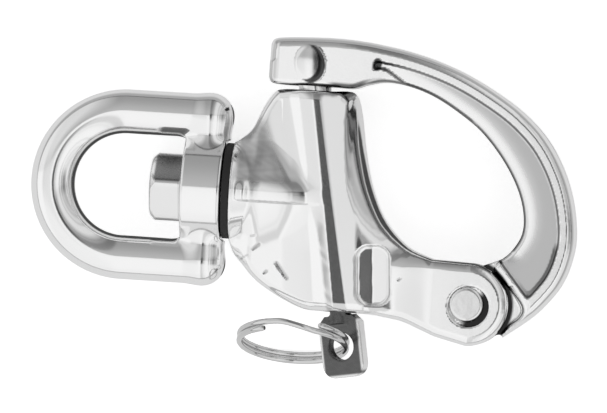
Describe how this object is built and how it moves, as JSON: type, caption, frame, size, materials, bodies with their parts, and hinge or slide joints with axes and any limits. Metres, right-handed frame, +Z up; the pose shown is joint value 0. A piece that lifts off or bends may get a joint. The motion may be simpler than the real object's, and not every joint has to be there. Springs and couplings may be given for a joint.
{
  "type": "swivel snap hook",
  "caption": "Stainless snap hook with a hinged gate, a spring-loaded latch plunger with a pull ring, and a swivelling eye.",
  "frame": {"origin": "centre of the eye's round end, on the swivel axis", "axes": "+X along the swivel axis from the eye to the hook, +Y towards the gate's tip, +Z up out of the flat of the hook"},
  "size_m": [0.0872, 0.0539, 0.0173],
  "materials": {
    "cast_steel": "polished casting",
    "pin_steel": "polished",
    "wire": "bright drawn wire",
    "washer": "matte black"
  },
  "bodies": {
    "hook_body": {"body": "cast_steel", "hinge_pin": "pin_steel", "swivel_bolt": "pin_steel", "swivel_washer": "washer"},
    "swivel_eye": {"eye": "cast_steel"},
    "hook_gate": {"gate": "cast_steel"},
    "latch_turn": {"plunger_spring": "wire"},
    "latch": {"plunger": "pin_steel"},
    "pull_ring": {"split_ring": "wire"}
  },
  "joints": [
    {"name": "eye_swivel", "type": "hinge", "parent": "hook_body", "child": "swivel_eye", "pos_m": [0, 0, 0], "axis": [1, 0, 0], "continuous": true},
    {"name": "gate_hinge", "type": "hinge", "parent": "hook_body", "child": "hook_gate", "pos_m": [0.0555, -0.0156, 0], "axis": [0, 0, -1], "range_deg": [0, 75]},
    {"name": "plunger_turn", "type": "hinge", "parent": "hook_body", "child": "latch_turn", "pos_m": [0.02925, 0.0167, 0], "axis": [0.1719, -0.9851, 0], "range_deg": [-45, 45]},
    {"name": "plunger_slide", "type": "slide", "parent": "latch_turn", "child": "latch", "axis": [0.1719, -0.9851, 0], "range_m": [0, 0.0055], "stiffness_N_per_m": 1760, "springref_m": -0.0056, "deforming": ["plunger_spring"]},
    {"name": "ring_swing", "type": "hinge", "parent": "latch", "child": "pull_ring", "pos_m": [0.03626, -0.02346, 0], "axis": [-0.4163, -0.0727, 0.9063], "range_deg": [0, 90]}
  ]
}
